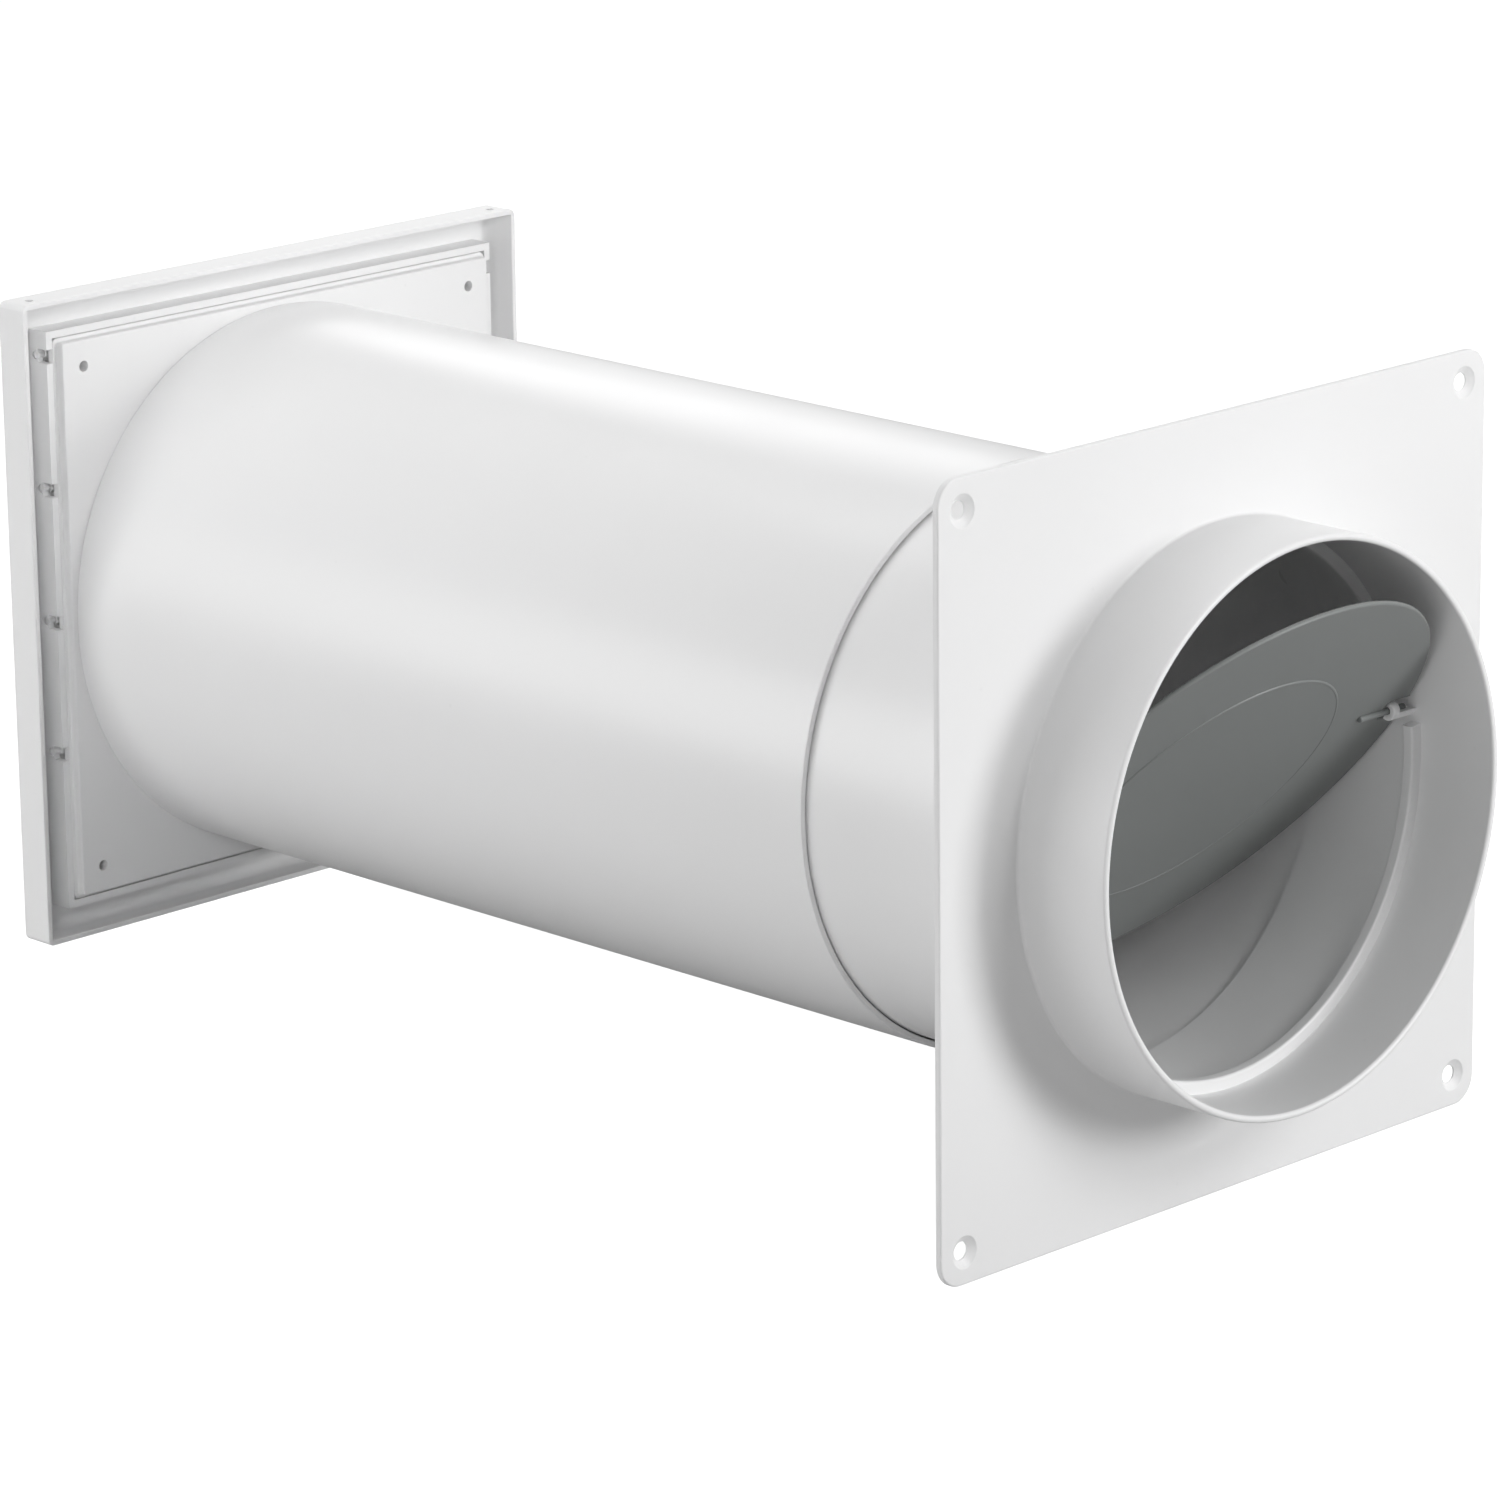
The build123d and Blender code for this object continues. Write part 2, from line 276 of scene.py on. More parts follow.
def revolved(profile, steps=ROUND_STEPS, centre=(0.0, 0.0)):
    """A profile of (radius, y) carried round an axis along the duct: each row is a circle."""
    ring = circle(1.0, steps)
    x = np.outer(profile[:, 0], ring[:, 0]) + centre[0]
    z = np.outer(profile[:, 0], ring[:, 1]) + centre[1]
    y = np.repeat(profile[:, 1:2], steps, axis=1)
    return np.stack([x, y, z], axis=2)


def turned(profile, steps, axis_y, axis_z, side=1):
    """A profile of (radius, x) carried round an axis across the wall: each row is a circle."""
    ring = circle(1.0, steps)
    x = side * np.repeat(profile[:, 1:2], steps, axis=1)
    y = axis_y + np.outer(profile[:, 0], ring[:, 0])
    z = axis_z + np.outer(profile[:, 0], ring[:, 1])
    return np.stack([x, y, z], axis=2)


def squared(profile, corner):
    """A profile of (half width, y) carried round a square: each row is a rounded square whose
    corner radius shrinks with its distance inside the outermost row."""
    least = 0.05 * MM
    radii = np.maximum(corner - (profile[:, 0].max() - profile[:, 0]), least)
    plans = [rounded_square(half, radius) for half, radius in zip(profile[:, 0], radii)]
    return stacked(plans, profile[:, 1])


def soft_plate(loop, edge, front, back):
    """Flat rows and their depths round an outline: a quarter round at the front, the wall and a
    quarter round at the back. Each row is the outline drawn in along its outward normals, which
    are square to the line between neighbouring points."""
    along = np.roll(loop, -1, axis=0) - np.roll(loop, 1, axis=0)
    normal = np.stack([along[:, 1], -along[:, 0]], axis=1)
    normal /= np.linalg.norm(normal, axis=1)[:, None]
    turn = np.linspace(0, pi / 2, EDGE_STEPS)
    inset, depth = edge * (1 - np.sin(turn)), edge * (1 - np.cos(turn))
    direction = np.sign(back - front)
    depths = np.concatenate([front + direction * depth, (back - direction * depth)[::-1]])
    insets = np.concatenate([inset, inset[::-1]])
    return loop[None] - normal[None] * insets[:, None, None], depths


class Shell:
    """A closed mesh gathered from grids and flat caps, in metres."""

    def __init__(self):
        self.points = []
        self.faces = []
        self.count = 0

    def add(self, points, faces):
        """Keeps the points, and the faces moved on by the points already there."""
        points = np.asarray(points, float).reshape(-1, 3)
        self.points.append(points)
        self.faces.extend([[i + self.count for i in face] for face in faces])
        self.count += len(points)

    def grid(self, surface, around=True, along=False):
        """Quads of a rows by columns array of points, closed round the columns or the rows."""
        rows, columns = surface.shape[:2]
        i, j = np.meshgrid(
            np.arange(rows if along else rows - 1),
            np.arange(columns if around else columns - 1),
            indexing="ij",
        )
        i2, j2 = (i + 1) % rows, (j + 1) % columns
        quads = [i * columns + j, i * columns + j2, i2 * columns + j2, i2 * columns + j]
        self.add(surface, np.stack(quads, axis=-1).reshape(-1, 4).tolist())

    def bar(self, surface):
        """A grid closed round its columns, with one flat face over each end."""
        self.grid(surface)
        for end in (surface[0], surface[-1]):
            self.add(end, [list(range(len(end)))])

    def cap(self, loops, place):
        """A flat face bounded by the first loop with the others as holes, in triangles."""
        edges = []
        first = 0
        for loop in loops:
            here = np.arange(len(loop))
            edges += (np.stack([here, (here + 1) % len(loop)], axis=1) + first).tolist()
            first += len(loop)
        merge = 1e-7
        flat = [Vector(point) for point in np.concatenate(loops).tolist()]
        made = delaunay_2d_cdt(flat, edges, [], 0, merge)
        corners = np.array([list(point) for point in made[0]])
        faces = np.array([list(face) for face in made[2]])
        middles = corners[faces].mean(axis=1)
        kept = inside(loops[0], middles)
        for hole in loops[1:]:
            kept &= ~inside(hole, middles)
        self.add(place(corners), faces[kept].tolist())

    def plate(self, loop, edge, front, back):
        """A closed plate square to the duct, with soft edges."""
        plans, depths = soft_plate(loop, edge, front, back)
        self.grid(stacked(plans, depths))
        self.cap([plans[0]], across(depths[0]))
        self.cap([plans[-1]], across(depths[-1]))

    def corner_holes(self, profile, reach, steps, near_loops, far_loops):
        """Carries a hole's profile round an axis in each corner, and adds its first and last
        circle to the loops of the flat faces that it cuts."""
        for side in (-1, 1):
            for height in (-1, 1):
                ring = revolved(profile, steps, (side * reach, height * reach))
                self.grid(ring)
                near_loops.append(plan_of(ring[0]))
                far_loops.append(plan_of(ring[-1]))


def loose_object(name, shell):
    """A closed mesh object of a shell, with its seams joined and its faces turned outwards."""
    seam, no_length = 0.004 * MM, 0.002 * MM
    mesh = bpy.data.meshes.new(name)
    mesh.from_pydata(np.concatenate(shell.points).tolist(), [], shell.faces)
    piece = bpy.data.objects.new(name, mesh)
    bpy.context.scene.collection.objects.link(piece)
    work = bmesh.new()
    work.from_mesh(mesh)
    bmesh.ops.remove_doubles(work, verts=work.verts, dist=seam)
    bmesh.ops.dissolve_degenerate(work, edges=work.edges, dist=no_length)
    bmesh.ops.recalc_face_normals(work, faces=work.faces)
    work.to_mesh(mesh)
    work.free()
    return piece


def drilled(piece, cutter_shell):
    """Takes the cutter's solids out of the piece and removes the cutter again."""
    cutter = loose_object("cutter", cutter_shell)
    cut = piece.modifiers.new("Holes", "BOOLEAN")
    cut.operation = "DIFFERENCE"
    cut.solver = "EXACT"
    cut.object = cutter
    with bpy.context.temp_override(object=piece, active_object=piece):
        bpy.ops.object.modifier_apply(modifier=cut.name)
    bpy.data.meshes.remove(cutter.data)


def make_piece(name, shell, material, body, nodes=(), holes=None):
    """Puts a shell into an object, cuts its drilled holes, dresses it and places it on a body."""
    sharp_angle = radians(38.0)
    piece = loose_object(name, shell)
    if holes:
        drilled(piece, holes)
    mesh = piece.data
    mesh.shade_smooth()
    mesh.set_sharp_from_angle(angle=sharp_angle)
    weighted = piece.modifiers.new("Even faces", "WEIGHTED_NORMAL")
    weighted.keep_sharp = True
    weighted.weight = 80
    mesh.materials.append(material)
    if nodes:
        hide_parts(*nodes)
    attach(piece, body)


# Finishes


def add_node(tree, kind, values=None, operation=None):
    """A shader node with its operation, and its unlinked inputs set by name or number."""
    node = tree.nodes.new(f"ShaderNode{kind}")
    if operation:
        node.operation = operation
    for socket, value in (values or {}).items():
        node.inputs[socket].default_value = value
    return node


def group_socket(group, name, kind, way, default=None):
    """One named input or output of a node group."""
    made = group.interface.new_socket(name=name, in_out=way, socket_type=kind)
    if default is not None:
        made.default_value = default


def moulded_surface_group():
    """Fine grain, a slow change of tone and gloss, and faint specks, for plastics. A colour, a
    roughness, the grain's scale and the tone's depth go in. The colour and the roughness come
    out changed over the surface, with the grain's height."""
    name = "Moulded surface"
    gloss_change, speck_depth = 0.04, -0.03
    if name in bpy.data.node_groups:
        return bpy.data.node_groups[name]
    group = bpy.data.node_groups.new(name, "ShaderNodeTree")
    group_socket(group, "Vector", "NodeSocketVector", "INPUT")
    group_socket(group, "Colour", "NodeSocketColor", "INPUT", (0.8, 0.8, 0.8, 1))
    group_socket(group, "Roughness", "NodeSocketFloat", "INPUT", 0.4)
    group_socket(group, "Grain scale", "NodeSocketFloat", "INPUT", 2600.0)
    group_socket(group, "Tone", "NodeSocketFloat", "INPUT", 0.02)
    group_socket(group, "Colour", "NodeSocketColor", "OUTPUT")
    group_socket(group, "Roughness", "NodeSocketFloat", "OUTPUT")
    group_socket(group, "Height", "NodeSocketFloat", "OUTPUT")
    link = group.links.new
    enter, leave = group.nodes.new("NodeGroupInput"), group.nodes.new("NodeGroupOutput")

    grain = add_node(group, "TexNoise", {"Detail": 3.0})
    link(enter.outputs["Vector"], grain.inputs["Vector"])
    link(enter.outputs["Grain scale"], grain.inputs["Scale"])
    link(grain.outputs["Fac"], leave.inputs["Height"])

    slow = add_node(group, "TexNoise", {"Scale": 22.0, "Detail": 1.0})
    tone = add_node(group, "MapRange", {"From Min": 0.1, "From Max": 0.9, "To Min": -1.0, "To Max": 1.0})
    link(enter.outputs["Vector"], slow.inputs["Vector"])
    link(slow.outputs["Fac"], tone.inputs["Value"])
    rough = add_node(group, "Math", {1: gloss_change}, "MULTIPLY_ADD")
    link(tone.outputs["Result"], rough.inputs[0])
    link(enter.outputs["Roughness"], rough.inputs[2])
    link(rough.outputs[0], leave.inputs["Roughness"])

    specks = add_node(group, "TexVoronoi", {"Scale": 55.0})
    dot = add_node(group, "MapRange", {"From Min": 0.02, "From Max": 0.035, "To Min": 1.0, "To Max": 0.0})
    link(enter.outputs["Vector"], specks.inputs["Vector"])
    link(specks.outputs["Distance"], dot.inputs["Value"])

    toned = add_node(group, "Math", operation="MULTIPLY")
    dotted = add_node(group, "Math", {1: speck_depth}, "MULTIPLY_ADD")
    bright = add_node(group, "Math", {1: 1.0}, "ADD")
    shade = add_node(group, "VectorMath", operation="SCALE")
    link(tone.outputs["Result"], toned.inputs[0])
    link(enter.outputs["Tone"], toned.inputs[1])
    link(dot.outputs["Result"], dotted.inputs[0])
    link(toned.outputs[0], dotted.inputs[2])
    link(dotted.outputs[0], bright.inputs[0])
    link(enter.outputs["Colour"], shade.inputs[0])
    link(bright.outputs[0], shade.inputs["Scale"])
    link(shade.outputs[0], leave.inputs["Colour"])
    return group


def plastic(name, base, gloss, grain=1500.0, bump=0.02, tone=0.008):
    """A satin plastic of a base colour: the moulded surface group on Object coordinates."""
    if name in bpy.data.materials:
        return bpy.data.materials[name]
    material = bpy.data.materials.new(name)
    material.use_nodes = True
    tree = material.node_tree
    link = tree.links.new
    shader = tree.nodes["Principled BSDF"]
    shader.inputs["IOR"].default_value = 1.49
    shader.inputs["Specular IOR Level"].default_value = 0.5
    place = add_node(tree, "TexCoord")
    surface = add_node(tree, "Group")
    surface.node_tree = moulded_surface_group()
    surface.inputs["Colour"].default_value = (*base, 1.0)
    surface.inputs["Roughness"].default_value = gloss
    surface.inputs["Grain scale"].default_value = grain
    surface.inputs["Tone"].default_value = tone
    bumps = add_node(tree, "Bump", {"Strength": bump, "Distance": 0.05 * MM})
    link(place.outputs["Object"], surface.inputs["Vector"])
    link(surface.outputs["Colour"], shader.inputs["Base Color"])
    link(surface.outputs["Roughness"], shader.inputs["Roughness"])
    link(surface.outputs["Height"], bumps.inputs["Height"])
    link(bumps.outputs["Normal"], shader.inputs["Normal"])
    return material


def moulded_white():
    """The finish of the flange, the plate, the cover and the louvres."""
    finish = bpy.context.scene.sleeve_finish
    return plastic("Moulded white", tuple(finish.white), finish.moulded_gloss)


def drawn_white():
    """The smoother finish of the extruded tubes."""
    finish = bpy.context.scene.sleeve_finish
    return plastic("Drawn white tube", tuple(finish.white), finish.tube_gloss, bump=0.0)


def flap_grey():
    """The finish of the flap, with a finer and deeper grain."""
    finish = bpy.context.scene.sleeve_finish
    return plastic("Flap grey", tuple(finish.flap), finish.flap_gloss, grain=1800.0, bump=0.04, tone=0.02)


# Pieces


class SLEEVE_OT_room_flange(bpy.types.Operator):
    """Room flange: plate, hose collar and short sleeve, with four countersunk holes."""

    bl_idname = "sleeve.room_flange"
    bl_label = "Room Flange"

    def execute(self, context):
        sizes = context.scene.sleeve_sizes
        fillet = sizes.collar_fillet
        low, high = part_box("inner_flange")
        half, mouth, end = high.x, low.y, high.y
        front, back = -2.0 * MM, 0.0
        corner, corner_steps = 7.0 * MM, 12
        shell = Shell()
        plans, depths = soft_plate(
            rounded_square(half, corner, corner_steps), sizes.edge_round, front, back
        )
        shell.grid(stacked(plans, depths))
        front_loops, back_loops = [plans[0]], [plans[-1]]

        screw_inset, hole_steps = 8.5 * MM, 40
        sink, hole, soft = 4.2 * MM, 2.4 * MM, 0.25 * MM
        slope = tan(radians(50.0))
        hole_profile = chain(
            soft_corner((sink, front), (soft, 0.0), (-soft, 2 * soft / slope)),
            (hole, front + (sink - hole) / slope),
            (hole, back),
        )
        reach = half - screw_inset
        shell.corner_holes(hole_profile, reach, hole_steps, front_loops, back_loops)

        lip, sleeve = 0.9 * MM, 74.4 * MM
        body = revolved(
            chain(
                soft_corner((COLLAR_RADIUS, front), (fillet, 0.0), (0.0, -fillet)),
                soft_corner((COLLAR_RADIUS, mouth), (0.0, lip), (-lip, 0.0)),
                soft_corner((COLLAR_BORE, mouth), (lip, 0.0), (0.0, lip)),
                (COLLAR_BORE, end),
                (sleeve, end),
                (sleeve, back),
            )
        )
        shell.grid(body)
        front_loops.append(plan_of(body[0]))
        back_loops.append(plan_of(body[-1]))
        shell.cap(front_loops, across(front))
        shell.cap(back_loops, across(back))
        make_piece(
            "room_flange", shell, moulded_white(), "inner", ("inner_flange",)
        )
        return {"FINISHED"}


class SLEEVE_OT_flap_stops(bpy.types.Operator):
    """Half-ring stops inside the collar and the two hooks that hold the flap's pins."""

    bl_idname = "sleeve.flap_stops"
    bl_label = "Flap Stops and Hooks"

    def arc_stop(self, shell, first, last, near, far):
        """A bar with rounded inner edges carried along an arc of the bore: the section's radius
        and depth stay the same while the arc's angle runs from the first to the last."""
        in_wall, out_of_wall, soft, steps = 0.9 * MM, 3.5 * MM, 0.7 * MM, 90
        root, inner = COLLAR_BORE + in_wall, COLLAR_BORE - out_of_wall
        section = chain(
            (root, near),
            soft_corner((inner, near), (soft, 0.0), (0.0, soft), SMALL_STEPS),
            soft_corner((inner, far), (0.0, -soft), (soft, 0.0), SMALL_STEPS),
            (root, far),
        )
        turn = arc(1.0, first, last, steps)
        x = np.outer(turn[:, 0], section[:, 0])
        z = np.outer(turn[:, 1], section[:, 0])
        y = np.repeat(section[None, :, 1], steps, axis=0)
        shell.bar(np.stack([x, y, z], axis=2))

    def hook(self, shell, side):
        """An open ring round the pin: a section carried from just past straight above the axis,
        over the room side, to a third of a quarter turn past the underside. The section is a
        circle whose cosine and sine are raised to powers below one, which squares it."""
        middle, thick = (HOOK_BORE + HOOK_RADIUS) / 2, (HOOK_RADIUS - HOOK_BORE) / 2
        width = (HOOK_SPAN[1] - HOOK_SPAN[0]) / 2
        powers, section_steps, steps = (0.35, 0.5), 28, 34
        section = circle(1.0, section_steps)
        section = np.sign(section) * np.abs(section) ** powers
        x = side * (sum(HOOK_SPAN) / 2 + width * section[:, 0])
        reach = middle + thick * section[:, 1]
        first, last = radians(100), radians(300)
        turn = arc(1.0, first, last, steps)
        y = HINGE[1] + np.outer(turn[:, 0], reach)
        z = HINGE[2] + np.outer(turn[:, 1], reach)
        shell.bar(np.stack([np.repeat(x[None], steps, axis=0), y, z], axis=2))

    def arm(self, shell, side):
        """A bar from the hook to the collar's wall: the lower half of the hook's ring, cut off
        just below the axis, carried straight along X."""
        outer_turn, outer_steps = (radians(187), radians(291)), 16
        inner_turn, inner_steps = (radians(341), radians(199)), 12
        outer = arc(HOOK_RADIUS, *outer_turn, outer_steps)
        inner = arc(HOOK_BORE, *inner_turn, inner_steps)
        loop = HINGE[1:] + np.concatenate([outer, inner])
        lap, in_wall = 0.5 * MM, 72.9 * MM
        ends = [side * (HOOK_SPAN[1] - lap), side * in_wall]
        shell.grid(np.stack([sideways(x)(loop) for x in ends]))
        for x in ends:
            shell.cap([loop], sideways(x))

    def execute(self, context):
        shell = Shell()
        low_z, high_z, thick, gap = 8.0 * MM, 17.0 * MM, 3.5 * MM, 0.3 * MM
        lower, upper = np.arcsin(low_z / FLAP_RADIUS), np.arcsin(high_z / FLAP_RADIUS)
        room_side = HINGE[1] - FLAP_FACE - gap
        far_side = HINGE[1] - FLAP_BACK + gap
        self.arc_stop(shell, pi - lower, 2 * pi + lower, room_side - thick, room_side)
        self.arc_stop(shell, upper, pi - upper, far_side, far_side + thick)
        for side in (-1, 1):
            self.hook(shell, side)
            self.arm(shell, side)
        make_piece("flap_stops_and_hooks", shell, moulded_white(), "inner")
        return {"FINISHED"}


class SLEEVE_OT_tubes(bpy.types.Operator):
    """Inner and outer sliding tubes, each a thin wall carried round the axis."""

    bl_idname = "sleeve.tubes"
    bl_label = "Sliding Tubes"

    def execute(self, context):
        soft, steps = 0.35 * MM, 256
        for node, name, body, bore in (
            ("inner_tube", "inner_sliding_tube", "inner", 74.45 * MM),
            ("outer_tube", "outer_sliding_tube", "exterior", 76.8 * MM),
        ):
            low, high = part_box(node)
            radius = (high.x - low.x) / 2
            start, end = low.y, high.y
            profile = chain(
                soft_corner((radius, start), (0.0, soft), (-soft, 0.0)),
                soft_corner((bore, start), (soft, 0.0), (0.0, soft)),
                soft_corner((bore, end), (0.0, -soft), (soft, 0.0)),
                soft_corner((radius, end), (-soft, 0.0), (0.0, -soft)),
            )
            shell = Shell()
            shell.grid(revolved(profile, steps), along=True)
            make_piece(name, shell, drawn_white(), body, (node,))
        return {"FINISHED"}


class SLEEVE_OT_flap(bpy.types.Operator):
    """Backdraft flap: thin disc with a raised middle, notched rim and a stub pin on each side."""

    bl_idname = "sleeve.flap"
    bl_label = "Backdraft Flap"

    def outline(self, drop):
        """The disc's rim about the hinge axis, which lies a drop above its centre: an upper and a
        lower arc of one circle, joined by a straight notch with cut corners beside each hook."""
        low = np.arcsin((drop - NOTCH_HALF) / FLAP_RADIUS)
        high = np.arcsin((drop + NOTCH_HALF) / FLAP_RADIUS)
        upper_steps, lower_steps, soft = 120, 150, 0.8 * MM
        upper = arc(FLAP_RADIUS, high, pi - high, upper_steps) - [0.0, drop]
        lower = arc(FLAP_RADIUS, pi - low, 2 * pi + low, lower_steps) - [0.0, drop]
        notch = np.array(
            [
                [NOTCH_START + soft, NOTCH_HALF],
                [NOTCH_START, NOTCH_HALF - soft],
                [NOTCH_START, soft - NOTCH_HALF],
                [NOTCH_START + soft, -NOTCH_HALF],
            ]
        )
        return np.concatenate([upper, notch * [-1, 1], lower, notch[::-1]])

    def pins(self, shell):
        """Stub pins with soft tips, partly sunk in the disc and free across the notches."""
        inner, tip = PIN_SPAN
        soft, steps = 0.3 * MM, 28
        profile = chain(
            (ON_AXIS, inner),
            soft_corner((PIN_RADIUS, inner), (-soft, 0.0), (0.0, soft), SMALL_STEPS),
            soft_corner((PIN_RADIUS, tip), (0.0, -soft), (-soft, 0.0), SMALL_STEPS),
            (ON_AXIS, tip),
        )
        for side in (-1, 1):
            shell.grid(turned(profile, steps, HINGE[1], HINGE[2], side))

    def execute(self, context):
        sizes = context.scene.sleeve_sizes
        tilt, middle = sizes.flap_tilt, sizes.flap_circle
        aside = np.array([1.0, 0.0, 0.0])
        upwards = np.array([0.0, -sin(tilt), cos(tilt)])
        outwards = np.array([0.0, -cos(tilt), -sin(tilt)])

        def tilted(plan, height):
            """Places (x, up) points of the flap's own plane at a height towards the room."""
            height = np.broadcast_to(height, plan.shape[:-1])[..., None]
            return HINGE + plan[..., :1] * aside + plan[..., 1:2] * upwards + height * outwards

        drop, rim_round = HINGE[2], 0.65 * MM
        face, back = FLAP_FACE, FLAP_BACK
        plans, heights = soft_plate(self.outline(drop), rim_round, face, back)
        shell = Shell()
        shell.grid(np.stack([tilted(plan, height) for plan, height in zip(plans, heights)]))

        # The raised middle: a narrow bead stands just proud of its edge
        rise, bead, ring_steps = 0.25 * MM, 0.12 * MM, 128
        step = face + rise
        crest = step + bead
        foot, flank, crown, root = 0.35 * MM, 0.2 * MM, 0.25 * MM, 0.6 * MM
        profile = chain(
            (middle + foot, face),
            soft_corner((middle, crest), (flank, face - crest), (-flank, 0.0)),
            soft_corner((middle - root, crest), (crown, 0.0), (0.0, step - crest)),
        )
        rings = profile[:, None, :1] * circle(1.0, ring_steps)[None] - [0.0, drop]
        shell.grid(np.stack([tilted(ring, height) for ring, height in zip(rings, profile[:, 1])]))
        shell.cap([plans[0], rings[0]], lambda plan: tilted(plan, face))
        shell.cap([rings[-1]], lambda plan: tilted(plan, step))
        shell.cap([plans[-1]], lambda plan: tilted(plan, back))
        self.pins(shell)
        make_piece(
            "flap_disc_and_pins", shell, flap_grey(), "flap", ("backdraft_flap",)
        )
        return {"FINISHED"}


class SLEEVE_OT_mounting_plate(bpy.types.Operator):
    """Mounting plate: raised panel with screw holes, border, hollow back and tube spigot."""

    bl_idname = "sleeve.mounting_plate"
    bl_label = "Mounting Plate"

    def execute(self, context):
        edge, nook = context.scene.sleeve_sizes.edge_round, 0.4 * MM
        low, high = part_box("mounting_plate")
        face, back = WALL_DEPTH, high.y
        border, border_edge = high.x, 0.3 * MM
        panel, wall, corner = 80.0 * MM, 2.0 * MM, 1.8 * MM
        hollow, floor = panel - wall, face + wall
        plate = squared(
            chain(
                soft_corner((panel, face), (-edge, 0.0), (0.0, edge)),
                soft_corner((panel, BORDER_DEPTH), (0.0, -nook), (nook, 0.0), SMALL_STEPS),
                soft_corner(
                    (border, BORDER_DEPTH), (-border_edge, 0.0), (0.0, border_edge), SMALL_STEPS
                ),
                (border, back),
                (hollow, back),
                (hollow, floor),
            ),
            corner,
        )
        outer, bore, start = 76.75 * MM, 75.05 * MM, low.y
        spigot = revolved(
            chain(
                (outer, face),
                soft_corner((outer, start), (0.0, nook), (-nook, 0.0), SMALL_STEPS),
                soft_corner((bore, start), (nook, 0.0), (0.0, nook), SMALL_STEPS),
                (bore, floor),
            )
        )
        shell = Shell()
        face_loops, floor_loops = [], []
        for part in (plate, spigot):
            shell.grid(part)
            face_loops.append(plan_of(part[0]))
            floor_loops.append(plan_of(part[-1]))
        hole, hole_edge, hole_steps = 1.5 * MM, 0.2 * MM, 32
        boss, reach = 3.3 * MM, 72.5 * MM
        screw = chain(
            soft_corner((hole, face), (hole_edge, 0.0), (0.0, hole_edge), SMALL_STEPS),
            (hole, back),
            (boss, back),
            (boss, floor),
        )
        shell.corner_holes(screw, reach, hole_steps, face_loops, floor_loops)
        shell.cap(face_loops, across(face))
        shell.cap(floor_loops, across(floor))
        make_piece(
            "wall_plate", shell, moulded_white(), "exterior", ("mounting_plate",)
        )
        return {"FINISHED"}


